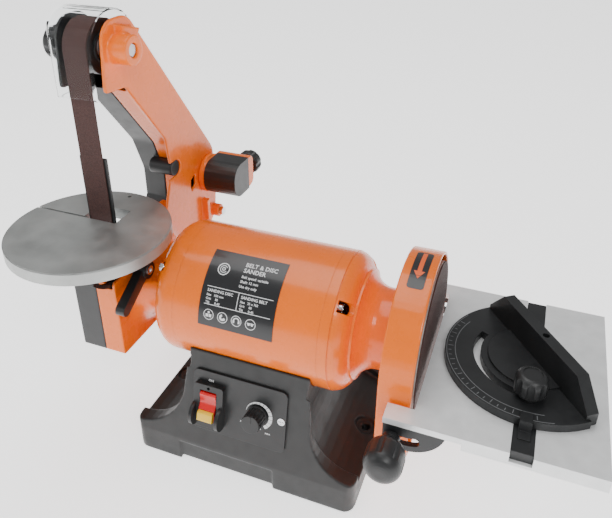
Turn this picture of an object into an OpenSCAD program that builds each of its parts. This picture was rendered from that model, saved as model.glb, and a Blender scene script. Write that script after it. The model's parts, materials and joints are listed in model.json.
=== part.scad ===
// Bench-top belt and disc sander. X runs along the motor shaft towards the disc,
// Y runs to the back and Z is up. The origin is the centre of the two base bolt
// holes, on the surface that the machine stands on. All sizes are millimetres.

/* [Base] */
// Length of the cast base along the motor
base_l = 242; // [236:1:260]
// Depth of the cast base, front to back
base_w = 178; // [174:1:186]
// Distance between the two mounting bolt holes
bolt_span = 216; // [212:1:220]

/* [Motor] */
// Height of the motor shaft above the bench
shaft_h = 163.5; // [162:0.5:165]
// Outer radius of the motor
motor_r = 69.5; // [68:0.5:70]
// Wall of the motor's steel shell
motor_wall = 2.5; // [2:0.5:3]

/* [Belt side] */
// Width of the sanding belt
belt_w = 25.4; // [24:0.1:26]
// Middle of the belt along the motor shaft
belt_x = -165.4; // [-166:0.1:-165]
// Radius of the round belt table
round_r = 79.3; // [76:0.1:80]
// Height of the belt table's top
round_h = 248; // [247:0.5:249]
// Thickness of the belt table
round_t = 12.3; // [10:0.1:13]

/* [Disc side] */
// Radius of the sanding disc
disc_r = 75; // [70:1:76]
// Height of the disc table's top
table_h = 157; // [156:0.5:158]
// Width of the slot for the mitre bar
slot_w = 17.9; // [17.5:0.1:18.4]

/* [Hidden] */
$fn = 64;

orange = [0.95, 0.38, 0.04];
black = [0.09, 0.09, 0.09];
grey = [0.62, 0.63, 0.62];
steel = [0.75, 0.76, 0.78];
grit = [0.28, 0.13, 0.11];

// ---- Outline helpers -------------------------------------------------------

function unit(v) = v / norm(v);
function arc(c, r, a0, a1, n = 12) =
    [for (i = [0:n]) c + r * [cos(a0 + (a1 - a0) * i / n), sin(a0 + (a1 - a0) * i / n)]];

// The arc that rounds corner b between its neighbours a and c
function corner(a, b, c, r, n) =
    let (u = unit(a - b), v = unit(c - b), half = acos(u * v) / 2,
         o = b + unit(u + v) * r / sin(half), p = b + u * r / tan(half) - o,
         q = b + v * r / tan(half) - o, a0 = atan2(p[1], p[0]),
         turn = (atan2(q[1], q[0]) - a0 + 540) % 360 - 180)
    arc(o, r, a0, a0 + turn, n);

// A closed outline from corners written [x, y, corner radius]
function rounded(pts, n = 6) =
    [for (i = [0:len(pts) - 1])
        let (a = pts[(i + len(pts) - 1) % len(pts)], b = pts[i], c = pts[(i + 1) % len(pts)])
        each b[2] > 0 ? corner([a[0], a[1]], [b[0], b[1]], [c[0], c[1]], b[2], n)
                      : [[b[0], b[1]]]];

// The same anticlockwise outline, moved inwards by d
function inset(pts, d) =
    [for (i = [0:len(pts) - 1])
        let (a = pts[(i + len(pts) - 1) % len(pts)], b = pts[i], c = pts[(i + 1) % len(pts)],
             u = unit([b[0] - a[0], b[1] - a[1]]), v = unit([c[0] - b[0], c[1] - b[1]]),
             m = [-u[1] - v[1], u[0] + v[0]] / (1 + u * v),
             bends_in = u[0] * v[1] - u[1] * v[0] > 0)
        [b[0] + d * m[0], b[1] + d * m[1], max(0.5, b[2] + (bends_in ? -d : d))]];

function box_outline(x0, x1, y0, y1, r) =
    [[x0, y0, r], [x1, y0, r], [x1, y1, r], [x0, y1, r]];

// ---- Placing helpers -------------------------------------------------------

// A (y, z) outline drawn out along X, an (x, z) outline along Y, an (x, y) one along Z
module along_x(x0, x1) { translate([x0, 0, 0]) rotate([90, 0, 90]) linear_extrude(x1 - x0) children(); }
module along_y(y0, y1) { translate([0, y1, 0]) rotate([90, 0, 0]) linear_extrude(y1 - y0) children(); }
module along_z(z0, z1) { translate([0, 0, z0]) linear_extrude(z1 - z0) children(); }
module rod_x(x0, x1, r, y, z) { translate([x0, y, z]) rotate([0, 90, 0]) cylinder(h = x1 - x0, r = r); }
module rod_y(y0, y1, r, x, z) { translate([x, y1, z]) rotate([90, 0, 0]) cylinder(h = y1 - y0, r = r); }
module rod_z(z0, z1, r, x, y) { translate([x, y, z0]) cylinder(h = z1 - z0, r = r); }
module block(x0, x1, y0, y1, z0, z1) { translate([x0, y0, z0]) cube([x1 - x0, y1 - y0, z1 - z0]); }
// A (radius, x) outline turned round the motor shaft
module turned(pts) { translate([0, 0, shaft_h]) rotate([0, 90, 0]) rotate_extrude() polygon(pts); }
module hex_x(x0, x1, r, y, z) { translate([x0, y, z]) rotate([0, 90, 0]) cylinder(h = x1 - x0, r = r, $fn = 6); }
module hex_z(z0, z1, r, x, y) { translate([x, y, z0]) cylinder(h = z1 - z0, r = r, $fn = 6); }

// A knob with scalloped lobes, standing on z = 0
module lobed_knob(r, h, lobes, hub_r, hub_h) {
    difference() {
        union() {
            translate([0, 0, hub_h]) rotate_extrude() polygon(concat(
                [[0, 0]], arc([r - h * 0.2, h * 0.2], h * 0.2, -90, 0, 6),
                arc([r - h * 0.35, h * 0.65], h * 0.35, 0, 90, 6), [[0, h]]));
            cylinder(h = hub_h + 1, r = hub_r);
        }
        for (i = [0:lobes - 1]) rotate(i * 360 / lobes)
            translate([r + r * 0.16, 0, hub_h - 1]) cylinder(h = h + 2, r = r * 0.3);
    }
}

// ---- Base ------------------------------------------------------------------

face_foot = [-88, 30];          // where the sloping front face starts (y, z)
face_head = [-66, 137];         // where it meets the motor cradle
face_tilt = atan((face_head[0] - face_foot[0]) / (face_head[1] - face_foot[1]));
cradle_r = motor_r + 0.2;
panel_mid = [-1.5, 56];         // middle of the panel on the face (x, distance up the face)
panel_size = [101, 67];
panel_t = 2.4;
switch_mid = [-32.5, 53];
dial_mid = [19, 57];
screw_mid = [44, 57];
feet_at = [for (x = [-1, 1], y = [-1, 1]) [x * (base_l / 2 - 17), y * (base_w / 2 - 17)]];
posts_at = [for (x = [-1, 1], y = [-1, 1]) [x * 84, y * 60]];
cradle_bolt_at = [for (x = [-38, 46]) x];

// Puts children on the front face: x across, z up the face, -y out of it
module on_face(p = [0, 0]) {
    translate([0, face_foot[0], face_foot[1]]) rotate([-face_tilt, 0, 0])
        translate([p[0], 0, p[1]]) children();
}

// Front view of the base: concave flanks between the pedestal and the bolt lugs
function base_front(r_left, r_right, dip) = concat(
    [[-base_l / 2, 1], [base_l / 2, 1]],
    arc([base_l / 2, 36 - dip + r_right], r_right, -90, -180, 10),
    [[69, 140], [-59, 140]],
    arc([-base_l / 2, 38 - dip + r_left], r_left, 0, -90, 10));
base_side = [[face_foot[0] - 1, 1], [-face_foot[0] + 1, 1], [-face_foot[0], face_foot[1]],
    [-face_head[0], face_head[1]], [face_head[0], face_head[1]], [face_foot[0], face_foot[1]]];
base_inner = [[-81, -1], [81, -1], [76, 24], [66, 86], [-66, 86], [-76, 24]];

module base_casting() color(black) {
    difference() {
        union() {
            for (s = [-1, 1]) rod_z(0, 3, 12, s * bolt_span / 2, 0);
            intersection() {
                along_x(-base_l / 2, base_l / 2) polygon(base_side);
                along_z(1, 140) polygon(rounded(box_outline(-base_l / 2, base_l / 2,
                    -base_w / 2, base_w / 2, 12)));
                union() {
                    along_y(-90, -70) polygon(base_front(57, 48, 0));
                    along_y(-70, 70) polygon(base_front(65, 57, 9));
                    along_y(70, 90) polygon(base_front(57, 48, 0));
                }
            }
        }
        rod_x(-90, 90, cradle_r, 0, shaft_h);
        difference() {
            union() {
                along_x(-50, 60) polygon(base_inner);
                block(-113, 113, -80, 80, -1, 15);
            }
            for (s = [-1, 1]) rod_z(0, 30, 14, s * bolt_span / 2, 0);
            for (p = feet_at) rod_z(4, 30, 15, p[0], p[1]);
            for (p = posts_at) rod_z(4, 30, 7, p[0], p[1]);
            for (x = cradle_bolt_at) rod_z(70, 100, 12, x, 0);
        }
        for (s = [-1, 1]) rod_z(-1, 60, 4.2, s * bolt_span / 2, 0);
        for (s = [-1, 1]) rod_z(26, 80, 11, s * bolt_span / 2, 0);
        for (p = feet_at) rod_z(-1, 4, 12.3, p[0], p[1]);
        for (p = posts_at) rod_z(3, 13, 1.9, p[0], p[1]);
        for (x = cradle_bolt_at) rod_z(60, 120, 3.3, x, 0);
        block(-68, 37, -90, -86.5, -1, 26);
        block(-68, 37, -95, -80, -1, 4);
        on_face(switch_mid) block(-12.8, 12.8, -5, 30, -20, 20);
        on_face(dial_mid) rod_y(-5, 30, 9, 0, 0);
        on_face(screw_mid) rod_y(-5, 12, 1.6, 0, 0);
    }
}

module rubber_feet() color([0.05, 0.05, 0.05]) for (p = feet_at) difference() {
    rod_z(0, 4, 12, p[0], p[1]);
    rod_z(-1, 1.5, 5, p[0], p[1]);
}

module bottom_plate() color(steel) difference() {
    along_z(2.5, 4) polygon(rounded(box_outline(-91, 91, -70, 70, 6)));
    for (p = posts_at) rod_z(1, 6, 2.1, p[0], p[1]);
}

module bottom_screws() color(steel) for (p = posts_at) {
    rod_z(1, 2.5, 3.6, p[0], p[1]);
    rod_z(2.5, 12, 1.85, p[0], p[1]);
}

module control_panel() color([0.13, 0.13, 0.14]) on_face() difference() {
    along_y(-panel_t, 0) polygon(rounded(box_outline(
        panel_mid[0] - panel_size[0] / 2, panel_mid[0] + panel_size[0] / 2,
        panel_mid[1] - panel_size[1] / 2, panel_mid[1] + panel_size[1] / 2, 6)));
    translate([switch_mid[0], 0, switch_mid[1]]) block(-12.8, 12.8, -5, 5, -20.2, 20);
    translate([dial_mid[0], 0, dial_mid[1]]) rod_y(-5, 5, 3.7, 0, 0);
    translate([screw_mid[0], 0, screw_mid[1]]) {
        rod_y(-5, 5, 1.9, 0, 0);
        rod_y(-5, -1.2, 4.2, 0, 0);
    }
}

module panel_screw() color(steel) on_face(screw_mid) difference() {
    union() {
        rod_y(-2.6, -1.2, 3.8, 0, 0);
        rod_y(-1.2, 10, 1.5, 0, 0);
    }
    block(-3, 3, -3, -2, -0.4, 0.4);
    block(-0.4, 0.4, -3, -2, -3, 3);
}

// ---- Switch and speed control ----------------------------------------------

rocker_w = 17.4;
rocker_pivot = [0, -2, 1];      // on the switch's middle, in face coordinates

module switch_housing() color(black) on_face(switch_mid) difference() {
    union() {
        along_y(-8, -panel_t) polygon(rounded(box_outline(-16, 16, -23.5, 24.5, 3)));
        block(-12.6, 12.6, -panel_t - 1, 22, -19.8, 19.8);
        for (s = [-1, 1]) rod_x(s * 14.2 - 1.8, s * 14.2 + 1.8, 12.5, -6.5, -9.5);
    }
    block(-9, 9, -30, 6.5, -16.2, 18);
    block(-17, 17, -panel_t, 60, -40, -20);
    for (s = [-1, 1]) block(s * 14.8 - 2.2, s * 14.8 + 2.2, -panel_t, 12, -30, 30);
    translate([0, 0, 21]) rod_y(-9, -6, 1.5, 0, 0);
}

module switch_paddle() color([0.82, 0.05, 0.06]) on_face(switch_mid) difference() {
    along_x(-rocker_w / 2, rocker_w / 2) polygon(rounded([[1, -14, 1], [1, 16, 1],
        [-9.5, 16, 2.5], [-7.2, 4, 8], [-10.6, -1.5, 2], [-10.6, -14, 1]]));
    block(-4.5, 4.5, -12, -2, -10.6, -4.6);
}

module safety_key() color([0.98, 0.82, 0.05]) on_face(switch_mid) {
    along_x(-8.2, 8.2) polygon(rounded([[-10.7, -13.6, 0.6], [-10.7, -2, 0.6],
        [-14.2, -3.4, 2.2], [-15.4, -12.4, 1.6]]));
    block(-4.3, 4.3, -10.8, -2.5, -10.4, -4.8);
}

module speed_knob() color(black) on_face(dial_mid) difference() {
    union() {
        rod_y(-20, -3, 9.2, 0, 0);
        rod_y(-5.6, -3, 10.6, 0, 0);
        for (i = [0:17]) rotate([0, i * 20, 0]) block(8.9, 9.8, -18.6, -5, -0.7, 0.7);
        block(-0.7, 0.7, -20.5, -19.6, 1.5, 8.6);
    }
    rod_y(-17, -2, 3.0, 0, 0);
}

module knob_shaft() color(steel) on_face(dial_mid) rod_y(-17, 6, 2.98, 0, 0);

module speed_pot() color(steel) on_face(dial_mid) difference() {
    union() {
        rod_y(-panel_t - 0.3, 2, 3.6, 0, 0);
        rod_y(2, 12, 8.4, 0, 0);
        block(-5, 5, 12, 16, -7, -3);
    }
    rod_y(-4, 8, 3.03, 0, 0);
}

module speed_board() color([0.05, 0.32, 0.16]) {
    block(-42, 34, -36, 28, 20, 21.6);
    for (x = [-38, 30], y = [-32, 24]) rod_z(4, 20, 2.6, x, y);
    for (i = [0:2]) rod_z(21.6, 39, 6, -28 + i * 15, 14);
    for (i = [0:6]) block(14, 32, -30 + i * 5, -27.6 + i * 5, 21.6, 44);
    block(-36, -14, -28, -10, 21.6, 33);
}

// ---- Motor -----------------------------------------------------------------

shell_x = [-74, 75];
bell_step = 0.8;
left_face = -100;
neck_r = 40;
neck_x = 122;
guard_back = 136;
shaft_r = 7.5;
bolt_ring = 60.5;
bolt_angles = [47, 133, 227, 313];

module motor_shell() color(orange) difference() {
    rod_x(shell_x[0], shell_x[1], motor_r, 0, shaft_h);
    rod_x(shell_x[0] - 1, shell_x[1] + 1, motor_r - motor_wall, 0, shaft_h);
    for (x = cradle_bolt_at) rod_z(80, 110, 3.2, x, 0);
}

arm_bolt_angles = [20, 260, 320];
guard_bolt_angles = [45, 135, 225, 315];
module on_shaft(angles) for (a = angles) translate([0, 0, shaft_h]) rotate([a, 0, 0]) children();
module on_bolt_ring() for (a = bolt_angles) rotate([a, 0, 0]) translate([0, bolt_ring, 0]) children();

module left_end_bell() color(orange) difference() {
    turned(concat([[shaft_r + 1.5, left_face]], arc([motor_r - 16, left_face + 16], 16, -90, 0, 8),
        [[motor_r, shell_x[0]], [motor_r - 4, shell_x[0]], [motor_r - 4, left_face + 16]],
        [[motor_r - 16, left_face + 5], [24, left_face + 5], [24, left_face + 14],
         [17.55, left_face + 14], [17.55, left_face + 3], [shaft_r + 1.5, left_face + 3]]));
    translate([0, 0, shaft_h]) on_bolt_ring() rod_x(left_face - 1, -60, 2.6, 0, 0);
    on_shaft(arm_bolt_angles) rod_x(left_face - 1, -90, 2.6, 30, 0);
    translate([0, 0, shaft_h]) on_bolt_ring() block(left_face - 1, left_face + 8, -4.5, 20, -4.5, 4.5);
}

module right_end_bell() color(orange) difference() {
    turned(concat([[motor_r - 4, shell_x[1]], [motor_r, shell_x[1]], [motor_r, 84.6],
         [motor_r - bell_step, 84.8], [motor_r - bell_step, 85.4]],
        arc([motor_r - 19.5, 81.5], 19.5, 12, 76, 8), arc([neck_r + 20, neck_x], 20, -105, -180, 8),
        [[neck_r, guard_back - 4], [neck_r + 3, guard_back], [12, guard_back], [12, 117],
         [17.55, 117], [17.55, 106], [24, 106], [34, 100], [54, 96], [motor_r - 4, 90]]));
    translate([0, 0, shaft_h]) on_bolt_ring() {
        rod_x(60, 110, 2.6, 0, 0);
        rod_x(87, 130, 5.4, 0, 0);
        block(87, 104, 0, 20, -5.4, 5.4);
    }
    on_shaft(guard_bolt_angles) rod_x(120, 140, 2.6, 28, 0);
}

module stator_core() color(steel) difference() {
    rod_x(-36, 36, motor_r - motor_wall - 0.1, 0, shaft_h);
    rod_x(-37, 37, 38, 0, shaft_h);
    translate([0, 0, shaft_h]) on_bolt_ring() rod_x(-37, 37, 3, 0, 0);
    for (x = cradle_bolt_at) rod_z(90, 112, 3.4, x, 0);
}

module stator_windings() color([0.72, 0.35, 0.12]) for (s = [-1, 1])
    turned(rounded([[41, s * 36, 4], [55, s * 36, 4], [55, s * 54, 6], [41, s * 54, 6]]));

module rotor_core() color(steel) difference() {
    union() {
        rod_x(-36, 36, 37.5, 0, shaft_h);
        for (s = [-1, 1]) turned([[26, s * 36], [36, s * 36], [34, s * 44], [28, s * 44]]);
    }
    rod_x(-60, 60, shaft_r + 0.05, 0, shaft_h);
}

wheel_x = [belt_x - 13.1, belt_x + 12.9];
drive_r = 38;

module motor_shaft() color(steel) difference() {
    union() {
        rod_x(-97 + 0.5, 117.5, shaft_r, 0, shaft_h);
        rod_x(wheel_x[0] - 7, -96, 6, 0, shaft_h);
        rod_x(117, 156, 6, 0, shaft_h);
    }
    block(120, 160, 4.6, 8, shaft_h - 8, shaft_h + 8);
}

module motor_bearings() color(steel) for (x = [left_face + 3, 106]) difference() {
    rod_x(x, x + 11, 17.5, 0, shaft_h);
    rod_x(x - 1, x + 12, shaft_r + 0.03, 0, shaft_h);
    turned([[11, x - 1], [14, x - 1], [14, x + 0.6], [11, x + 0.6]]);
    turned([[11, x + 10.4], [14, x + 10.4], [14, x + 12], [11, x + 12]]);
}

module through_bolts() color(steel) translate([0, 0, shaft_h]) on_bolt_ring() difference() {
    union() {
        rod_x(left_face + 4, 88, 2.5, 0, 0);
        rod_x(87, 90.5, 4.6, 0, 0);
        hex_x(left_face + 1, left_face + 5, 4.4, 0, 0);
    }
    block(89.5, 91, -4, 4, -0.5, 0.5);
    block(89.5, 91, -0.5, 0.5, -4, 4);
}

module cradle_bolts() color(steel) for (x = cradle_bolt_at) {
    rod_z(66, 108, 3.1, x, 0);
    hex_z(65, 70, 5.8, x, 0);
}

// The nameplate is wrapped round the front of the shell
plate_x = [-45, 32];
plate_angles = [109, 172];
module nameplate() color(black) difference() {
    intersection() {
        rod_x(plate_x[0], plate_x[1], motor_r + 0.5, 0, shaft_h);
        along_x(plate_x[0], plate_x[1]) polygon(concat([[0, shaft_h]],
            arc([0, shaft_h], motor_r + 20, plate_angles[0], plate_angles[1], 10)));
    }
    rod_x(plate_x[0] - 1, plate_x[1] + 1, motor_r + 0.05, 0, shaft_h);
}

// ---- Belt arm and its cover ------------------------------------------------

arm_x = [-163, -139.8];
cover_x = [-191, -163.3];
wall = 3;
face_t = 3.2;
idler = [96, 212];
idler_r = 14;
top_wheel = [-13, 416];
top_r = 25;
tension_pivot = [133, 227];
table_pivot = [-40, round_h];
stud_ring = 58.5;
stud_at = table_pivot + stud_ring * [cos(-80), sin(-80)];

// Side view of the arm: (y, z, corner radius), from the lower front corner round
arm_outer = [[-66, 101, 3], [60, 101, 30], [147, 166, 22], [152, 200, 20], [150, 254, 26],
    [9, 443, 22], [-31, 443, 20], [-37, 380, 4], [-6, 377, 4]];
box_top = [[-5, 192, 10], [-66, 192, 3]];
// The face next to the motor has a lip that narrows the throat; the walls stand back
face_corners = concat(arm_outer, [[50, 303, 12], [56, 262, 22], [36, 216, 18]], box_top);
wall_corners = concat(arm_outer, [[61, 291, 24], [76, 250, 24], [76, 216, 3], [62, 197, 12]], box_top);

// The openings that the belt, the platen and the table's trunnion pass through
module belt_way(x0, x1) {
    block(x0, x1, -60, 34, 184, 206);
    block(x0, x1, -60, 15, 372, 460);
}

module belt_arm() color(orange) difference() {
    union() {
        difference() {
            along_x(arm_x[0], arm_x[1]) polygon(rounded(wall_corners));
            along_x(arm_x[0] - 1, arm_x[1] - face_t) polygon(rounded(inset(wall_corners, wall)));
            belt_way(arm_x[0] - 1, arm_x[1] - face_t);
            rod_x(-152, arm_x[1] - face_t, 68.5, table_pivot[0], table_pivot[1]);
        }
        along_x(arm_x[1] - face_t, arm_x[1]) polygon(rounded(face_corners));
        intersection() {
            turned(concat([[22, arm_x[1] - 1], [60, arm_x[1] - 1], [60, arm_x[1]]],
                arc([60, arm_x[1] + 22], 22, -90, -180, 8), [[38, left_face], [22, left_face]]));
            along_x(arm_x[1] - 2, left_face) polygon(rounded(face_corners));
        }
        rod_x(arm_x[1] - 1, -121, 14, top_wheel[0], top_wheel[1]);
        along_x(arm_x[1] - 1, -130) polygon([[-13, 428], [8, 422], [13, 430], [-12, 437]]);
        block(arm_x[1] - 1, -132, 114, 121, 150, 198);
        rod_x(arm_x[1] - 1, -129, 8, 140, 172);
        rod_x(arm_x[1] - 1, -137, 11, stud_at[0], stud_at[1]);
        block(-168, arm_x[1] - 1, 28, 50, 212, 218);
        block(arm_x[0], arm_x[1] - 1, 44, 66, 209, 218);
    }
    rod_x(-170, -90, 12, 0, shaft_h);
    rod_x(-150, -120, 4.05, top_wheel[0], top_wheel[1]);
    rod_x(-127, -120, 6.6, top_wheel[0], top_wheel[1]);
    rod_x(-150, -130, 8.06, tension_pivot[0], tension_pivot[1]);
    rod_x(-150, -130, 4.06, stud_at[0], stud_at[1]);
    rod_x(-150, -120, 3, 140, 172);
    along_x(-150, -130) polygon([[93, 219], [103, 224], [104, 238], [94, 233]]);
    rod_x(-165, -138, 9.4, 65, 262);
    block(-165, -138, 40, 65, 252.6, 271.4);
    rod_x(-137, -110, 10.2, stud_at[0], stud_at[1]);
    translate([0, stud_at[0], stud_at[1]]) along_x(-135.5, -117) polygon([[0, 8.5], [-30, 8.5],
        [-30, -21.5], [3.2, -8.2]]);
    block(-173, -157, 24, 66, 217.9, 224);
    rod_z(205, 225, 2.1, -163, 44);
    on_shaft(arm_bolt_angles) rod_x(-145, -90, 2.6, 30, 0);
}

module arm_bolts() color(steel) {
    on_shaft(arm_bolt_angles) difference() {
        union() {
            rod_x(arm_x[1] - face_t, -95, 2.5, 30, 0);
            rod_x(-148, arm_x[1] - face_t, 4.4, 30, 0);
        }
        hex_x(-149, -145, 2.6, 30, 0);
    }
    rod_x(-146, -128, 2.9, 140, 172);
    hex_x(-129, -124.5, 5.6, 140, 172);
}

module side_cover() color(black) difference() {
    union() {
        along_x(cover_x[0], cover_x[1]) polygon(rounded(wall_corners));
        rod_x(-170, -141, 9, 65, 262);
    }
    difference() {
        along_x(cover_x[0] + wall, cover_x[1] + 1) polygon(rounded(inset(wall_corners, wall)));
        rod_x(cover_x[0], -183, 10, top_wheel[0], top_wheel[1]);
    }
    belt_way(cover_x[0] + wall, cover_x[1] + 1);
    rod_x(-195, -180, 4.3, top_wheel[0], top_wheel[1]);
    block(-173, cover_x[1] + 1, 24, 70, 217.6, 224.4);
    block(-170, cover_x[1] + 1, 24, 70, 208, 219);
}

module cover_knob() color(black) difference() {
    translate([-194.2, top_wheel[0], top_wheel[1]]) rotate([0, -90, 0]) lobed_knob(16, 14, 7, 9, 3);
    rod_x(-206, -190, 4.06, top_wheel[0], top_wheel[1]);
}

shield_side = [[-43.6, 372, 5], [-18, 372, 8], [20, 414, 4], [20, 451, 30], [-43.6, 451, 30]];
shield_plan = [[-192.8, -43.6, 8], [-143.4, -43.6, 5], [-143.4, 30, 0], [-192.8, 30, 0]];
module eye_guard() color([0.85, 0.9, 0.92, 0.35]) difference() {
    intersection() {
        along_x(-192.8, -143.4) polygon(rounded(shield_side, 8));
        along_z(360, 470) polygon(rounded(shield_plan, 8));
    }
    intersection() {
        along_x(-191.4, -140) polygon(rounded([[-42.2, 350, 0], [18.6, 350, 0],
            [18.6, 449.6, 28.6], [-42.2, 449.6, 28.6]], 8));
        along_z(340, 480) polygon(rounded([[-191.4, -42.2, 6.6], [-140, -42.2, 0],
            [-140, 50, 0], [-191.4, 50, 0]], 8));
    }
    along_x(-191.4, -140) polygon(rounded(inset(wall_corners, -0.8)));
    rod_x(-200, -190, 4.5, top_wheel[0], top_wheel[1]);
}

// ---- Wheels and belt -------------------------------------------------------

belt_gap = 0.3;
belt_t = 1;
loop_at = [[0, shaft_h], idler, top_wheel];
loop_r = [drive_r, idler_r, top_r];

// Direction of the straight run from wheel i to wheel j, going anticlockwise
function run_angle(i, j) = let (d = loop_at[j] - loop_at[i])
    atan2(d[1], d[0]) + asin((loop_r[i] - loop_r[j]) / norm(d));

// The belt's outline round its three wheels, e outside the wheels' rims
function loop_outline(e) = [for (j = [0:2])
    let (a0 = run_angle((j + 2) % 3, j) - 90, a1 = run_angle(j, (j + 1) % 3) - 90)
    each arc(loop_at[j], loop_r[j] + e, a0, a1 < a0 ? a1 + 360 : a1, 14)];

module sanding_belt() color(grit) along_x(belt_x - belt_w / 2, belt_x + belt_w / 2) difference() {
    polygon(loop_outline(belt_gap + belt_t));
    polygon(loop_outline(belt_gap));
}

module drive_wheel() color(steel) difference() {
    rod_x(wheel_x[0], wheel_x[1], drive_r, 0, shaft_h);
    rod_x(wheel_x[0] - 1, wheel_x[0] + 9, drive_r - 4, 0, shaft_h);
    rod_x(wheel_x[1] - 9, wheel_x[1] + 1, drive_r - 4, 0, shaft_h);
    rod_x(wheel_x[0] - 1, wheel_x[1] + 1, 6.05, 0, shaft_h);
}

module drive_nut() color(steel) difference() {
    hex_x(wheel_x[0] + 0.5, wheel_x[0] + 9, 10, 0, shaft_h);
    rod_x(-200, -160, 6, 0, shaft_h);
}

module top_roller() color([0.15, 0.15, 0.16]) difference() {
    rod_x(wheel_x[0], wheel_x[1], top_r, top_wheel[0], top_wheel[1]);
    rod_x(-190, -140, 11.05, top_wheel[0], top_wheel[1]);
    for (x = [wheel_x[0] - 1, wheel_x[1] - 2]) difference() {
        rod_x(x, x + 3, top_r - 3, top_wheel[0], top_wheel[1]);
        rod_x(x - 1, x + 4, 14, top_wheel[0], top_wheel[1]);
    }
}

module roller_bearings() color(steel) for (x = [wheel_x[0] + 1, wheel_x[1] - 8]) difference() {
    rod_x(x, x + 7, 11, top_wheel[0], top_wheel[1]);
    rod_x(x - 1, x + 8, 4.04, top_wheel[0], top_wheel[1]);
}

module top_axle() color(steel) {
    rod_x(-205, -123, 4, top_wheel[0], top_wheel[1]);
    rod_x(-152, arm_x[1] - 3.3, 6.5, top_wheel[0], top_wheel[1]);
    hex_x(-126.5, -123, 6.2, top_wheel[0], top_wheel[1]);
}

module idler_wheel() color([0.15, 0.15, 0.16]) difference() {
    rod_x(wheel_x[0], wheel_x[1], idler_r, idler[0], idler[1]);
    rod_x(-190, -140, 3.04, idler[0], idler[1]);
}

// The idler's axle stands on a plate that slides towards the belt's middle
carrier_x = [-151.5, -148.8];
module idler_axle() color(steel) {
    rod_x(-181, carrier_x[1], 3, idler[0], idler[1]);
    hex_x(-184, -180, 5, idler[0], idler[1]);
    along_x(carrier_x[0], carrier_x[1]) translate(idler)
        polygon(rounded([[-9, -8, 3], [22, -3, 3], [22, 13, 3], [-9, 8, 3]]));
}

module tension_shaft() color(steel) rod_x(-148.3, -136, 8, tension_pivot[0], tension_pivot[1]);

// The lever's box section: it hangs behind the motor's left end
lever_corners = [[110, 208, 17], [163, 208, 9], [163, 247, 9], [110, 247, 17]];
lever_split = 148;
module tension_lever() color(orange) difference() {
    union() {
        rod_x(-139.3, -134.5, 23.5, tension_pivot[0], tension_pivot[1]);
        difference() {
            along_x(-135, -92) polygon(rounded(lever_corners));
            block(-132, -80, 100, lever_split, 190, 260);
        }
    }
    rod_x(-145, -136, 8, tension_pivot[0], tension_pivot[1]);
    along_x(-132, -95) polygon([[lever_split, 213], [155, 213], [155, 242], [lever_split, 242]]);
    rod_y(150, 170, 3, -104, 228);
}

module tension_grip() color(black) difference() {
    intersection() {
        along_x(-132, -91.2) polygon(rounded(inset(lever_corners, -0.9)));
        block(-132, -91.2, 100, lever_split, 190, 260);
    }
    along_x(-131, -95) polygon(rounded(inset(lever_corners, 3)));
}

module tension_spring() color(steel) for (x = [-147.4, -145.7, -144])
    translate([x, tension_pivot[0], tension_pivot[1]]) rotate([0, 90, 0])
        rotate_extrude() translate([10.5, 0]) circle(r = 0.8, $fn = 16);

module tracking_knob() color(black) difference() {
    union() {
        translate([-104, 164.5, 228]) rotate([-90, 0, 0]) lobed_knob(15, 16, 7, 8, 4);
        rod_y(151, 166, 2.95, -104, 228);
    }
    rod_y(179, 190, 5, -104, 228);
}

platen_y = [-37.8, -35];
module platen() color([0.12, 0.12, 0.13]) difference() {
    block(belt_x - 15, belt_x + 15, platen_y[0], platen_y[1], 200, 314);
    for (s = [-1, 1]) rod_y(-40, -30, 2.1, belt_x + s * 6, 220);
    for (s = [-1, 1]) rod_y(-40, -36.2, 3.6, belt_x + s * 6, 220);
}

module platen_bracket() color(steel) difference() {
    union() {
        block(-175, -156, platen_y[1], platen_y[1] + 3, 212, 232);
        block(-172, -158, platen_y[1], 52, 218, 223);
    }
    for (s = [-1, 1]) rod_y(-40, -25, 2.1, belt_x + s * 6, 220);
    rod_z(210, 230, 2.1, -163, 44);
}

module platen_screws() color(steel) {
    for (s = [-1, 1]) {
        rod_y(-37.7, -36.3, 3.5, belt_x + s * 6, 220);
        rod_y(-37, -30.5, 2, belt_x + s * 6, 220);
    }
    rod_z(208, 224, 2, -163, 44);
    hex_z(223, 226.2, 4, -163, 44);
}

// ---- Belt table ------------------------------------------------------------

round_mid = [-164.3, -59.7];
mouth_x = [-184, -146];
mouth_y = [-43.2, -16];

module round_table() color(grey) difference() {
    union() {
        rod_z(round_h - round_t, round_h - 0.8, round_r, round_mid[0], round_mid[1]);
        rod_z(round_h - round_t, round_h, round_r - 0.8, round_mid[0], round_mid[1]);
    }
    along_x(mouth_x[0], mouth_x[1]) polygon([[mouth_y[0], round_h + 1], [mouth_y[1], round_h + 1],
        [mouth_y[1], 230], [mouth_y[0] - 18, 230], [mouth_y[0], round_h - 1]]);
    block(-260, mouth_x[0] + 1, mouth_y[0], mouth_y[0] + 2.6, 230, 260);
    rod_z(230, 260, 2.2, -166, 11);
    rod_z(round_h - round_t - 1, round_h - 8, round_r - 6, round_mid[0], round_mid[1] - 400);
    for (p = round_screws_at) rod_z(230, round_h - 5, 2.1, p[0], p[1]);
}

ear_x = [-148.8, -144.2];
flange_z = [round_h - round_t - 4, round_h - round_t];
round_screws_at = [[-126, -84], [-126, -50], [-126, -14]];

module ring_slot(c, r, half, a0, a1) {
    polygon(concat(arc(c, r + half, a0, a1, 12), arc(c, r - half, a1, a0, 12)));
    for (a = [a0, a1]) translate(c + r * [cos(a), sin(a)]) circle(r = half);
}

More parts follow.
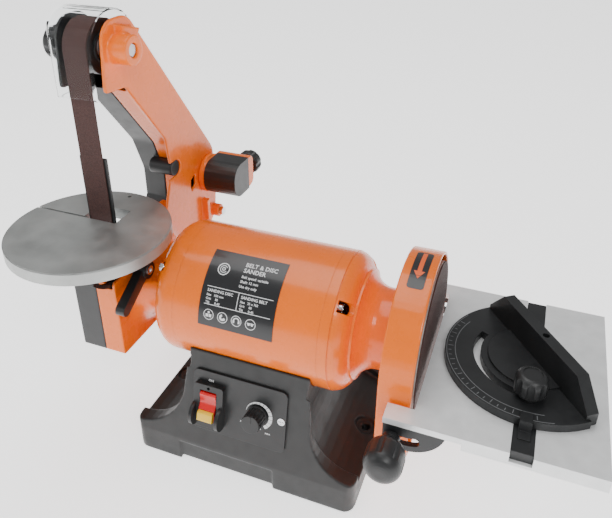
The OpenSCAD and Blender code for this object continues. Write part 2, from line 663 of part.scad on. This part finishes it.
module round_trunnion() color(grey) {
    difference() {
        union() {
            along_x(ear_x[0], ear_x[1]) polygon(concat(arc(table_pivot, 67, 222, 291, 10),
                [[-17, flange_z[1]], [-90, flange_z[1]]]));
            along_z(flange_z[0], flange_z[1]) polygon(rounded(
                box_outline(-145, -118, -92, -4, 5)));
            along_y(-35, -29) polygon([[-145, 210], [-145, flange_z[1]], [-120, flange_z[1]]]);
        }
        along_x(-155, -140) ring_slot(table_pivot, stud_ring, 4.3, 230, 284);
        for (p = round_screws_at) rod_z(200, 240, 2.2, p[0], p[1]);
    }
}

module round_screws() color(steel) for (p = round_screws_at) {
    rod_z(229, round_h - 6, 2, p[0], p[1]);
    hex_z(flange_z[0] - 3, flange_z[0], 4, p[0], p[1]);
}

lever_tip = [-75, 170.6];
module lock_lever() color(black) {
    difference() {
        union() {
            rod_x(-136.6, -122, 9, stud_at[0], stud_at[1]);
            hull() {
                rod_x(-134, -125, 6.5, stud_at[0], stud_at[1]);
                rod_x(-131, -121, 6, lever_tip[0], lever_tip[1]);
            }
        }
        rod_x(-145, -124, 4.05, stud_at[0], stud_at[1]);
        rod_x(-125, -120, 5.2, stud_at[0], stud_at[1]);
    }
}

module lever_stud() color(steel) {
    rod_x(-151.3, -124.5, 4, stud_at[0], stud_at[1]);
    rod_x(-151.3, -149.2, 7, stud_at[0], stud_at[1]);
    difference() {
        rod_x(-124.5, -121, 5, stud_at[0], stud_at[1]);
        hex_x(-123, -120, 2.6, stud_at[0], stud_at[1]);
    }
}

// ---- Disc side -------------------------------------------------------------

rim_r = 84;
rim_x = [guard_back, 166];
disc_x = [158, 166.3];
tilt_pivot = [166, table_h];
tilt_ring = 23.5;
tilt_out = 34;
tilt_stud = tilt_pivot + tilt_ring * [cos(243.4), sin(243.4)];

function guard_outline(d) = concat(
    rounded([[-rim_r + d, shaft_h, 0], [-rim_r + d, 83 + d, 22 - d],
             [rim_r - d, 83 + d, 22 - d], [rim_r - d, shaft_h, 0]]),
    arc([0, shaft_h], rim_r - d, 4, 176, 36));

module disc_guard() color(orange) difference() {
    union() {
        difference() {
            along_x(rim_x[0], rim_x[1]) polygon(guard_outline(0));
            along_x(rim_x[0] + 3, rim_x[1] + 1) polygon(guard_outline(3));
        }
        for (s = [-1, 1]) rod_y(s > 0 ? rim_r - 2 : -96, s > 0 ? 96 : 2 - rim_r, 9,
            tilt_stud[0], tilt_stud[1]);
    }
    rod_x(130, 145, 12, 0, shaft_h);
    on_shaft(guard_bolt_angles) rod_x(130, 145, 2.6, 28, 0);
    for (s = [-1, 1]) rod_y(s > 0 ? 84 : -100, s > 0 ? 100 : -84, 4.05, tilt_stud[0], tilt_stud[1]);
}

module guard_bolts() color(steel) on_shaft(guard_bolt_angles) {
    rod_x(124, 139.5, 2.5, 28, 0);
    rod_x(139, 142, 4.6, 28, 0);
}

module sanding_disc() color(steel) difference() {
    union() {
        rod_x(disc_x[0], disc_x[1], disc_r, 0, shaft_h);
        rod_x(144, disc_x[0] + 1, 15, 0, shaft_h);
    }
    rod_x(140, 157, 6.05, 0, shaft_h);
}

module abrasive_disc() color(grit) rod_x(disc_x[1], disc_x[1] + 1.3, disc_r, 0, shaft_h);

plate_t = 6;
edge_t = 12.5;
table_x = [146.8, 322.4];
table_y = 104.2;
gap_x = 170.1;
apron_x = 212;
slot_mid = 257.75;
slot_floor = table_h - 9.3;

module disc_table() color(grey) difference() {
    union() {
        block(table_x[0], table_x[1], -table_y, table_y, table_h - plate_t, table_h);
        difference() {
            block(apron_x, table_x[1], -table_y, table_y, table_h - edge_t, table_h - 1);
            block(apron_x + 5, table_x[1] - 5, -table_y + 5, table_y - 5, 100, table_h - plate_t);
            block(apron_x - 1, apron_x + 6, -table_y + 5, table_y - 5, 100, table_h - plate_t);
        }
        block(slot_mid - 14, slot_mid + 14, -table_y, table_y, table_h - edge_t, table_h - 1);
    }
    block(table_x[0] - 1, gap_x, -86.6, 86.6, 100, 200);
    along_y(-86.6, 86.6) polygon([[gap_x - 1, table_h - plate_t - 1], [gap_x + 6, table_h - plate_t - 1],
        [gap_x - 1, table_h]]);
    block(slot_mid - slot_w / 2, slot_mid + slot_w / 2, -120, 120, slot_floor, 170);
}

module disc_trunnions() color(grey) for (s = [-1, 1]) difference() {
    union() {
        along_y(s * 99 - 2.5, s * 99 + 2.5) polygon(concat([[table_x[0], table_h - plate_t]],
            [[table_x[0], tilt_pivot[1] - sqrt(pow(tilt_out, 2) - pow(tilt_pivot[0] - table_x[0], 2))]],
            arc(tilt_pivot, tilt_out, 240, 350, 14)));
        block(table_x[0], 206, min(s * 99, s * 87), max(s * 99, s * 87), table_h - plate_t - 4,
            table_h - plate_t);
    }
    along_y(-110, 110) ring_slot(tilt_pivot, tilt_ring, 4.3, 241, 291);
    block(140, 260, -110, 110, table_h - plate_t, 170);
    block(140, 183, -95, 95, 140, 170);
}

knob_y = -103;
module tilt_knob() color(black) {
    translate([tilt_stud[0], knob_y - 1, tilt_stud[1]]) rotate([90, 0, 0]) {
        cylinder(h = 8, r = 8);
        translate([0, 0, 6]) difference() {
            rotate_extrude() polygon(concat([[0, 0], [9, 0]], arc([6, 12], 10.4, -50, 0, 5),
                arc([4.4, 22], 12, 0, 90, 8), [[0, 34]]));
            for (i = [0:6]) rotate(i * 360 / 7) translate([18.4, 0, -1]) cylinder(h = 26, r = 3.4);
        }
    }
    rod_y(-105, -85, 3.99, tilt_stud[0], tilt_stud[1]);
    rod_y(85, 106, 3.99, tilt_stud[0], tilt_stud[1]);
}

// ---- Mitre gauge -----------------------------------------------------------

mitre_pivot = [slot_mid, 4.5];
mitre_turn = -53.6;
head_r = 78;
head_z = [table_h + 0.2, table_h + 8];
clamp_ring = 49;
fence_h = 37;

module mitre_bar() color(black) difference() {
    union() {
        block(slot_mid - slot_w / 2 + 0.2, slot_mid + slot_w / 2 - 0.2, -101, 102,
            slot_floor + 0.1, table_h - 0.1);
        rod_z(table_h - 1, table_h + 6, 5, mitre_pivot[0], mitre_pivot[1]);
        along_x(slot_mid - 5, slot_mid + 5) polygon([[-88, table_h - 1], [-76, table_h - 1],
            [-76, head_z[1] + 0.6], [-66, head_z[1] + 0.6], [-66, head_z[1] + 1.8],
            [-77.5, head_z[1] + 1.8], [-79, table_h + 1.2], [-88, table_h + 1.2]]);
    }
    rod_z(slot_floor - 1, 200, 3.05, slot_mid, mitre_pivot[1] - clamp_ring);
}

// Drawn with its fence along x and the protractor on the -y side, then turned
module mitre_head() color([0.14, 0.14, 0.14]) translate(mitre_pivot) rotate(mitre_turn) difference() {
    union() {
        along_z(head_z[0], head_z[1]) polygon(concat(arc([0, 0], head_r, 180, 360, 32), [[head_r, 4], [-head_r, 4]]));
        along_z(head_z[0], head_z[1] + 2) polygon(concat(arc([0, 0], 39.5, 180, 360, 20), [[39.5, 4], [-39.5, 4]]));
        along_y(0, 11) polygon(rounded([[-76, head_z[0], 1], [76, head_z[0], 1], [76, table_h + 13, 1],
            [56, table_h + fence_h, 1], [-56, table_h + fence_h, 1], [-76, table_h + 13, 1]], 3));
    }
    along_z(100, 200) polygon(concat(arc([0, 0], clamp_ring + 3.4, 208, 332, 20),
        arc([0, 0], clamp_ring - 3.4, 332, 208, 20)));
    rod_z(100, table_h + 6.2, 5.06, 0, 0);
    rod_z(table_h + fence_h - 8, 220, 3, 4.6, 5.5);
}

module mitre_knob() color(black) {
    translate([slot_mid, mitre_pivot[1] - clamp_ring, head_z[1] + 0.4]) difference() {
        lobed_knob(14, 20, 8, 9, 4);
        translate([0, 0, 23]) cylinder(h = 5, r = 8);
    }
    rod_z(slot_floor + 0.5, head_z[1] + 6, 3, slot_mid, mitre_pivot[1] - clamp_ring);
}

base_casting();
rubber_feet();
bottom_plate();
bottom_screws();
control_panel();
panel_screw();
switch_housing();
switch_paddle();
safety_key();
speed_knob();
knob_shaft();
speed_pot();
speed_board();
motor_shell();
left_end_bell();
right_end_bell();
stator_core();
stator_windings();
rotor_core();
motor_shaft();
motor_bearings();
through_bolts();
cradle_bolts();
nameplate();
belt_arm();
arm_bolts();
side_cover();
cover_knob();
eye_guard();
drive_wheel();
drive_nut();
top_roller();
roller_bearings();
top_axle();
idler_wheel();
idler_axle();
tension_shaft();
tension_lever();
tension_grip();
tension_spring();
tracking_knob();
sanding_belt();
platen();
platen_bracket();
platen_screws();
round_table();
round_trunnion();
round_screws();
lock_lever();
lever_stud();
disc_guard();
guard_bolts();
sanding_disc();
abrasive_disc();
disc_table();
disc_trunnions();
tilt_knob();
mitre_bar();
mitre_head();
mitre_knob();
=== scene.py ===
import json
import math

import bpy
from mathutils import Matrix, Vector


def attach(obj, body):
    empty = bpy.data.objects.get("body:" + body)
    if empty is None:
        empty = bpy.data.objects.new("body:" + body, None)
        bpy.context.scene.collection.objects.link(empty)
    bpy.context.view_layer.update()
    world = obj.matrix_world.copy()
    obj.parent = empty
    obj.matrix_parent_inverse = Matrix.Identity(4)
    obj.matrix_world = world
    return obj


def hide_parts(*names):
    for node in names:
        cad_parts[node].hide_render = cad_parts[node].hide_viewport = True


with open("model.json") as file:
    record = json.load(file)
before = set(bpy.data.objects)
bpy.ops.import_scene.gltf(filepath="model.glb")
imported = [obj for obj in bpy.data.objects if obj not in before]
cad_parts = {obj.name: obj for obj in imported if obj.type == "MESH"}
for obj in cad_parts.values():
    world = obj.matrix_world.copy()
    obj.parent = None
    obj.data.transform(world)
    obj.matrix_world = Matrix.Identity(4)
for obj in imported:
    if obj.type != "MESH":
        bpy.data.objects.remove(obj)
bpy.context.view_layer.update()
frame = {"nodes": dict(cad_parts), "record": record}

MM = 0.001
SHAFT_H = 163.5                     # the motor shaft's height, in millimetres as all below
MOTOR_R = 69.5
RIM_R = 84                          # the disc guard's rim
RIM_MID = 151.5                     # x at the middle of the rim's width
FACE_FOOT = (-88, 30)               # y and z at the foot of the base's sloping front
FACE_TILT = math.atan(22 / 107)
PANEL_FRONT = 2.4                   # how far the control panel stands out of that front
DIAL = (19, 57)
SWITCH = (-32.5, 53)
MITRE_PIVOT = (257.75, 4.5)
MITRE_TURN = math.radians(-53.6)
HEAD_TOP = 165
PRINT_OUT = 0.08                    # how far a print stands out of what it is laid on
PLATE_ANGLES = (109, 172)           # the nameplate's two edges, in degrees round the shaft
PLATE_X = (-45, 32)
PLATE_THICK = 0.5
STICKER_MID = 96                    # the angle of the guard sticker's middle


# ---- Materials ---------------------------------------------------------------

def material(name, color, rough, metal=0.0, grain=None, bump=0.0, mottle=0.0, mottle_size=40,
             rough_var=0.0, edge=0.0, coat=0.0, **more):
    """A Principled material whose colour, roughness and bump vary with noise in object space.
    grain is the bump's frequency per metre, mottle the share by which the colour varies."""
    mat = bpy.data.materials.new(name)
    mat.use_nodes = True
    nodes, links = mat.node_tree.nodes, mat.node_tree.links
    shader = nodes["Principled BSDF"]
    shader.inputs["Base Color"].default_value = (*color, 1)
    shader.inputs["Roughness"].default_value = rough
    shader.inputs["Metallic"].default_value = metal
    shader.inputs["Coat Weight"].default_value = coat
    shader.inputs["Coat Roughness"].default_value = 0.08
    for key, value in more.items():
        shader.inputs[key.replace("_", " ")].default_value = value
    where = nodes.new("ShaderNodeTexCoord").outputs["Object"]

    def noise(scale, detail=3.0):
        tex = nodes.new("ShaderNodeTexNoise")
        tex.inputs["Scale"].default_value = scale
        tex.inputs["Detail"].default_value = detail
        links.new(where, tex.inputs["Vector"])
        return tex.outputs["Fac"]

    def spread(source, low, high):
        step = nodes.new("ShaderNodeMapRange")
        step.inputs["From Min"].default_value = 0.3
        step.inputs["From Max"].default_value = 0.7
        step.inputs["To Min"].default_value = low
        step.inputs["To Max"].default_value = high
        links.new(source, step.inputs["Value"])
        return step.outputs["Result"]

    if mottle:
        mix = nodes.new("ShaderNodeMix")
        mix.data_type = "RGBA"
        mix.inputs["A"].default_value = (*[c * (1 - mottle) for c in color], 1)
        mix.inputs["B"].default_value = (*[min(1, c * (1 + mottle)) for c in color], 1)
        links.new(spread(noise(mottle_size, 4), 0, 1), mix.inputs["Factor"])
        links.new(mix.outputs["Result"], shader.inputs["Base Color"])
    if rough_var:
        links.new(spread(noise(mottle_size * 2.3), rough - rough_var, rough + rough_var),
                  shader.inputs["Roughness"])
    normal = None
    if edge:
        bevel = nodes.new("ShaderNodeBevel")
        bevel.samples = 4
        bevel.inputs["Radius"].default_value = edge * MM
        normal = bevel.outputs["Normal"]
    if grain:
        step = nodes.new("ShaderNodeBump")
        step.inputs["Strength"].default_value = bump
        step.inputs["Distance"].default_value = 0.3 * MM
        links.new(noise(grain, 2), step.inputs["Height"])
        if normal:
            links.new(normal, step.inputs["Normal"])
        normal = step.outputs["Normal"]
    if normal:
        links.new(normal, shader.inputs["Normal"])
    return mat


LOOKS = {
    "orange_paint": material("orange_paint", (0.95, 0.17, 0.0), 0.28, grain=260, bump=0.05, mottle=0.03,
                             rough_var=0.04, edge=1.2, coat=0.35, Specular_IOR_Level=0.35),
    "black_casting": material("black_casting", (0.014, 0.0145, 0.0145), 0.42, grain=1500, bump=0.35,
                              mottle=0.15, rough_var=0.08, edge=1.5),
    "rubber": material("rubber", (0.012, 0.012, 0.012), 0.8, grain=900, bump=0.2, mottle=0.1, edge=0.4),
    "zinc": material("zinc", (0.72, 0.73, 0.75), 0.2, 1.0, grain=700, bump=0.06, mottle=0.08,
                     rough_var=0.07, edge=0.3),
    "steel": material("steel", (0.55, 0.55, 0.57), 0.3, 1.0, grain=500, bump=0.08, mottle=0.08,
                      rough_var=0.08, edge=0.3),
    "black_plastic": material("black_plastic", (0.016, 0.0165, 0.017), 0.36, grain=1100, bump=0.12,
                              mottle=0.12, rough_var=0.06, edge=0.8),
    "dark_metal": material("dark_metal", (0.022, 0.023, 0.024), 0.38, 0.2, grain=900, bump=0.15,
                           mottle=0.15, rough_var=0.08, edge=0.7),
    "cast_aluminium": material("cast_aluminium", (0.42, 0.43, 0.42), 0.42, 0.75, grain=800, bump=0.12,
                               mottle=0.16, mottle_size=26, rough_var=0.08, edge=0.8),
    "bright_aluminium": material("bright_aluminium", (0.90, 0.91, 0.91), 0.38, 0.35, grain=1200, bump=0.10,
                                 mottle=0.06, mottle_size=60, rough_var=0.08, edge=0.6),
    "abrasive": material("abrasive", (0.058, 0.022, 0.018), 0.75, grain=2600, bump=0.9, mottle=0.35,
                         mottle_size=900, rough_var=0.15),
    "clear_plastic": material("clear_plastic", (0.98, 0.99, 0.99), 0.03, grain=40, bump=0.02,
                              Transmission_Weight=1.0, IOR=1.12),
    "red_plastic": material("red_plastic", (0.72, 0.008, 0.008), 0.25, grain=500, bump=0.04, mottle=0.04,
                            edge=0.6, coat=0.4),
    "yellow_plastic": material("yellow_plastic", (0.9, 0.55, 0.01), 0.3, grain=500, bump=0.04, mottle=0.04,
                               edge=0.6, coat=0.3),
    "label": material("label", (0.012, 0.0125, 0.014), 0.3, grain=300, bump=0.03, mottle=0.06, coat=0.3),
    "copper": material("copper", (0.5, 0.17, 0.05), 0.35, 0.9, grain=900, bump=0.5, mottle=0.1),
    "circuit": material("circuit", (0.01, 0.12, 0.05), 0.4, grain=800, bump=0.1, mottle=0.15, edge=0.3),
}
PRINT_WHITE = material("print_white", (0.82, 0.83, 0.84), 0.45, grain=800, bump=0.05, mottle=0.04)
PRINT_GREY = material("print_grey", (0.16, 0.165, 0.17), 0.5, grain=800, bump=0.05, mottle=0.08)
PRINT_ORANGE = material("print_orange", (0.9, 0.13, 0.02), 0.4, grain=800, bump=0.05, mottle=0.04)
FLOOR = material("floor", (0.9, 0.9, 0.9), 0.6, grain=60, bump=0.02, mottle=0.01,
                 Emission_Color=(1, 1, 1, 1), Emission_Strength=1.5)

slot_of = {row["node"]: row["material_slot"] for row in frame["record"]["subparts"]}


def dress(obj, mat):
    obj.data.materials.clear()
    obj.data.materials.append(mat)


for node, obj in frame["nodes"].items():
    dress(obj, LOOKS[slot_of[node]])


# ---- Soft cast pieces --------------------------------------------------------

def cast(node, body, voxel, rounds):
    """Replaces a CAD node by a copy whose edges are rounded as a casting's are."""
    source = frame["nodes"][node]
    piece = bpy.data.objects.new(node + "_cast", source.data.copy())
    bpy.context.scene.collection.objects.link(piece)
    remesh = piece.modifiers.new("remesh", "REMESH")
    remesh.mode = "VOXEL"
    remesh.voxel_size = voxel * MM
    remesh.use_smooth_shade = True
    smooth = piece.modifiers.new("smooth", "SMOOTH")
    smooth.factor = 0.5
    smooth.iterations = rounds
    mesh = bpy.data.meshes.new_from_object(piece.evaluated_get(bpy.context.evaluated_depsgraph_get()))
    piece.modifiers.clear()
    piece.data = mesh
    dress(piece, LOOKS[slot_of[node]])
    mesh.polygons.foreach_set("use_smooth", [True] * len(mesh.polygons))
    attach(piece, body)
    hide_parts(node)
    return piece


CAST = [("belt_arm", "frame", 0.9, 3), ("disc_guard", "frame", 0.9, 3), ("base_casting", "frame", 1.1, 4),
        ("side_cover", "side_cover", 0.9, 2), ("tension_lever", "tension_arm", 0.8, 3)]
for job in CAST:
    cast(*job)


# ---- Printed pieces ----------------------------------------------------------
# Each is a flat outline in millimetres, laid on a surface by a function.

def rect(u0, v0, u1, v1, nu=1, nv=1):
    """A rectangle of nu by nv cells."""
    row = nu + 1
    verts = [(u0 + (u1 - u0) * i / nu, v0 + (v1 - v0) * j / nv) for j in range(nv + 1) for i in range(row)]
    faces = [(j * row + i, j * row + i + 1, (j + 1) * row + i + 1, (j + 1) * row + i)
             for j in range(nv) for i in range(nu)]
    return verts, faces


def ring(u, v, r0, r1, a0=0, a1=360, n=32):
    """A ring's arc, whose inner and outer radius may be pairs for its start and end."""
    r0, r1 = [r if isinstance(r, tuple) else (r, r) for r in (r0, r1)]
    verts, faces = [], []
    for i in range(n + 1):
        t = i / n
        a = math.radians(a0 + (a1 - a0) * t)
        for r in (r0, r1):
            k = r[0] + (r[1] - r[0]) * t
            verts.append((u + k * math.cos(a), v + k * math.sin(a)))
    for i in range(n):
        faces.append((2 * i, 2 * i + 1, 2 * i + 3, 2 * i + 2))
    return verts, faces


def disc(u, v, r, n=24):
    turns = [2 * math.pi * i / n for i in range(n)]
    return [(u + r * math.cos(a), v + r * math.sin(a)) for a in turns], [tuple(range(n))]


def words(text, u, v, size, bold):
    """Text as filled outlines, its baseline starting at (u, v)."""
    curve = bpy.data.curves.new("words", "FONT")
    curve.body = text
    curve.size = size
    curve.offset = bold
    curve.resolution_u = 2
    holder = bpy.data.objects.new("words", curve)
    bpy.context.scene.collection.objects.link(holder)
    bpy.context.view_layer.update()
    mesh = holder.evaluated_get(bpy.context.evaluated_depsgraph_get()).to_mesh()
    shape = [(u + p.co.x, v + p.co.y) for p in mesh.vertices], [tuple(f.vertices) for f in mesh.polygons]
    bpy.data.objects.remove(holder)
    return shape


def printed(name, shapes, place, mat, body, thick=0.12):
    """One print: all its shapes laid by place, thick millimetres through."""
    verts, faces = [], []
    for points, loops in shapes:
        first = len(verts)
        verts += [tuple(place(u, v)) for u, v in points]
        faces += [tuple(first + i for i in loop) for loop in loops]
    mesh = bpy.data.meshes.new(name)
    mesh.from_pydata(verts, [], faces)
    mesh.update()
    piece = bpy.data.objects.new(name, mesh)
    bpy.context.scene.collection.objects.link(piece)
    solid = piece.modifiers.new("solid", "SOLIDIFY")
    solid.thickness = thick * MM
    solid.offset = 0
    dress(piece, mat)
    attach(piece, body)
    return piece


def on_round(radius, middle):
    """Lays (x, arc length) on a cylinder round the motor shaft; middle is the angle where v is 0."""
    def place(u, v):
        a = math.radians(middle) - v / radius
        return Vector((u, radius * math.cos(a), SHAFT_H + radius * math.sin(a))) * MM
    return place


def on_face(out):
    """Lays (across, up) on the base's sloping front face, out millimetres in front of it."""
    c, s = math.cos(FACE_TILT), math.sin(FACE_TILT)
    def place(u, v):
        return Vector((u, FACE_FOOT[0] - out * c + v * s, FACE_FOOT[1] + out * s + v * c)) * MM
    return place


def on_head(height):
    """Lays points on the mitre head, in the head's own turned frame."""
    c, s = math.cos(MITRE_TURN), math.sin(MITRE_TURN)
    def place(u, v):
        return Vector((MITRE_PIVOT[0] + u * c - v * s, MITRE_PIVOT[1] + u * s + v * c, height)) * MM
    return place


def nameplate():
    middle = sum(PLATE_ANGLES) / 2
    radius = MOTOR_R + PLATE_THICK
    line = 0.6
    left, right = PLATE_X[0] + 5, PLATE_X[1] - 4
    top_rule, low_rule, split = 0.0, -17.0, (left + right) / 2 - 1
    shapes = [rect(left, top_rule, right, top_rule + line), rect(left, low_rule, right, low_rule + line),
              rect(split, low_rule, split + line, top_rule, 1, 8)]

    # The title and its lines, right of the ring mark
    title = left + 31
    shapes += [words("BELT & DISC", title, 26, 6.0, 0.1), words("SANDER", title, 20, 6.0, 0.1)]
    for i, text in enumerate(["Belt speed: variable", "Shaft: 12 mm", "Use dry only"]):
        shapes.append(words(text, title, 14.3 - i * 4.6, 3.5, 0.06))
    mark = (left + 11, 19)
    shapes += [ring(*mark, 5.2, 6.2, n=40), ring(*mark, 1.0, 1.8), ring(*mark, 3.1, 3.8, 30, 330)]

    # Two columns between the rules
    columns = [(left + 1, "SANDING DISC", ["Size   150 mm", "Grit     80", "Tilt      0-45"]),
               (split + 3, "SANDING BELT", ["Size   25 x 762", "Grit     80", "Tilt      0-45"])]
    for u, head, texts in columns:
        shapes.append(words(head, u, top_rule - 4.6, 3.9, 0.06))
        for i, text in enumerate(texts):
            shapes.append(words(text, u, top_rule - 8.6 - i * 3.6, 3.1, 0.05))

    # Four ringed signs under the lower rule: a book, a mask, ear muffs and goggles
    v = -26.5
    book, mask, ear, eye = [left + 6 + i * 14.5 for i in range(4)]
    shapes += [ring(u, v, 4.7, 5.3, n=40) for u in (book, mask, ear, eye)]
    shapes += [rect(book - 3, v - 2.4, book - 0.3, v + 0.6, 1, 2),
               rect(book + 0.3, v - 2.4, book + 3, v + 0.6, 1, 2), disc(book, v + 2.2, 1.1)]
    shapes += [ring(mask, v, 1.2, 3.2, 100, 330), disc(mask + 1.6, v - 1.4, 1.3)]
    shapes += [ring(ear, v, 2.2, 3.4, 0, 180), rect(ear - 3.6, v - 2.2, ear - 1.8, v + 0.4, 1, 2),
               rect(ear + 1.8, v - 2.2, ear + 3.6, v + 0.4, 1, 2)]
    shapes += [disc(eye - 1.7, v, 1.3), disc(eye + 1.7, v, 1.3),
               rect(eye - 3.6, v + 0.7, eye + 3.6, v + 1.4)]
    place = on_round(radius + PRINT_OUT, middle)
    printed("nameplate_print", shapes, place, PRINT_WHITE, "frame")


def panel_print():
    arc_r, arc_grow, steps, step = 12.2, 3.6, 13, 17.4
    dot_ring = 15

    def outer(k):
        return arc_r + arc_grow * min(1, (k + 0.6) / 8)

    # A wedge of arc segments that thickens clockwise round the dial
    shapes = []
    for i in range(steps):
        start = 168 - i * step
        shapes.append(ring(*DIAL, arc_r, (outer(i), outer(i + 1)), start, start - 15.6, 4))
    for degrees in (205, 232, 285):
        a = math.radians(degrees)
        shapes.append(disc(DIAL[0] + dot_ring * math.cos(a), DIAL[1] + dot_ring * math.sin(a), 0.6))
    shapes += [words("ON", SWITCH[0] - 2.8, SWITCH[1] + 26, 3.6, 0.06),
               words("MIN", DIAL[0] - 18, DIAL[1] - 13, 2.6, 0.04),
               words("MAX", DIAL[0] + 9, DIAL[1] - 18.5, 2.6, 0.04)]
    printed("panel_print", shapes, on_face(PANEL_FRONT + PRINT_OUT), PRINT_WHITE, "frame")


def guard_sticker():
    """A strip with round corners along the rim, and an arrow that points the way the disc turns."""
    core_w, core_h, corner, rows_n = 4.5, 23, 3, 12

    def half_width(v):
        over = max(0, abs(v) - core_h)
        return core_w + math.sqrt(max(0, corner * corner - over * over))

    bends = [round(core_h + corner * math.sin(math.radians(k * 18)), 4) for k in range(6)]
    evenly = [-core_h + k * 2 * core_h / rows_n for k in range(rows_n + 1)]
    rows = sorted({*bends, *[-v for v in bends], *evenly})
    verts, faces = [], []
    for v in rows:
        verts += [(RIM_MID - half_width(v), v), (RIM_MID + half_width(v), v)]
    for i in range(len(rows) - 1):
        faces.append((2 * i, 2 * i + 1, 2 * i + 3, 2 * i + 2))
    strip = on_round(RIM_R + 0.1, STICKER_MID)
    printed("sticker", [(verts, faces)], strip, LOOKS["label"], "frame", 0.2)
    arrow = [rect(RIM_MID - 2, -6, RIM_MID + 2, 24, 1, 10),
             ([(RIM_MID - 5, -6), (RIM_MID + 5, -6), (RIM_MID, -15)], [(0, 1, 2)])]
    place = on_round(RIM_R + 0.25, STICKER_MID)
    printed("sticker_arrow", arrow, place, PRINT_ORANGE, "frame")


def mitre_scale():
    """Ticks every 5 degrees, each third one longer, between two arcs."""
    tick_r, half_tick = 75, 0.25
    shapes = []
    for i in range(25):
        a = 210 + i * 5
        long = 4.6 if i % 3 == 0 else 2.8
        shapes.append(ring(0, 0, tick_r - long, tick_r, a - half_tick, a + half_tick, 1))
    shapes += [ring(0, 0, 68.4, 69, 205, 335, 60), ring(0, 0, 76.2, 76.8, 200, 340, 60)]
    place = on_head(HEAD_TOP + PRINT_OUT)
    printed("mitre_scale", shapes, place, PRINT_GREY, "mitre_head")


nameplate()
panel_print()
guard_sticker()
mitre_scale()


# ---- Camera, light and floor -------------------------------------------------

def camera():
    """The photograph's view, from a camera fitted to it; the focal length is in its 612 pixels' width."""
    place, yaw, pitch, focal = (0.2256, -0.49483, 0.57034), -0.3672957, -0.4737568, 649.0887
    look = Vector((math.sin(yaw) * math.cos(pitch), math.cos(yaw) * math.cos(pitch), math.sin(pitch)))
    right = Vector((math.cos(yaw), -math.sin(yaw), 0))
    up = right.cross(look)
    data = bpy.data.cameras.new("camera")
    data.sensor_width = 36
    data.lens = 36 * focal / 612
    data.shift_x = 0.0065
    data.shift_y = -0.1135
    data.clip_start, data.clip_end = 0.05, 30
    cam = bpy.data.objects.new("camera", data)
    cam.matrix_world = Matrix.Translation(place) @ Matrix((
        (right.x, up.x, -look.x, 0), (right.y, up.y, -look.y, 0), (right.z, up.z, -look.z, 0), (0, 0, 0, 1)))
    bpy.context.scene.collection.objects.link(cam)
    bpy.context.scene.camera = cam


def lamp(name, place, aim, size, power):
    """A soft area lamp at place, facing aim; metres and watts."""
    data = bpy.data.lights.new(name, "AREA")
    data.shape = "RECTANGLE"
    data.size, data.size_y = size
    data.energy = power
    obj = bpy.data.objects.new(name, data)
    obj.location = place
    obj.rotation_mode = "QUATERNION"
    obj.rotation_quaternion = (Vector(aim) - Vector(place)).to_track_quat("-Z", "Y")
    bpy.context.scene.collection.objects.link(obj)


def studio():
    half = 20
    mesh = bpy.data.meshes.new("floor")
    mesh.from_pydata([(-half, -half, 0), (half, -half, 0), (half, half, 0), (-half, half, 0)],
                     [], [(0, 1, 2, 3)])
    floor = bpy.data.objects.new("floor", mesh)
    bpy.context.scene.collection.objects.link(floor)
    dress(floor, FLOOR)
    world = bpy.data.worlds.new("studio")
    bpy.context.scene.world = world
    world.use_nodes = True
    world.node_tree.nodes["Background"].inputs["Color"].default_value = (1, 1, 1, 1)
    world.node_tree.nodes["Background"].inputs["Strength"].default_value = 0.42
    aim = (0, 0, 0.2)
    lamp("key", (0.9, -1.2, 1.7), aim, (0.9, 0.6), 15)
    lamp("top", (-0.3, 0.1, 1.9), aim, (1.4, 1.0), 14)
    lamp("fill", (-1.5, -1.0, 1.0), aim, (1.0, 1.0), 5)


camera()
studio()
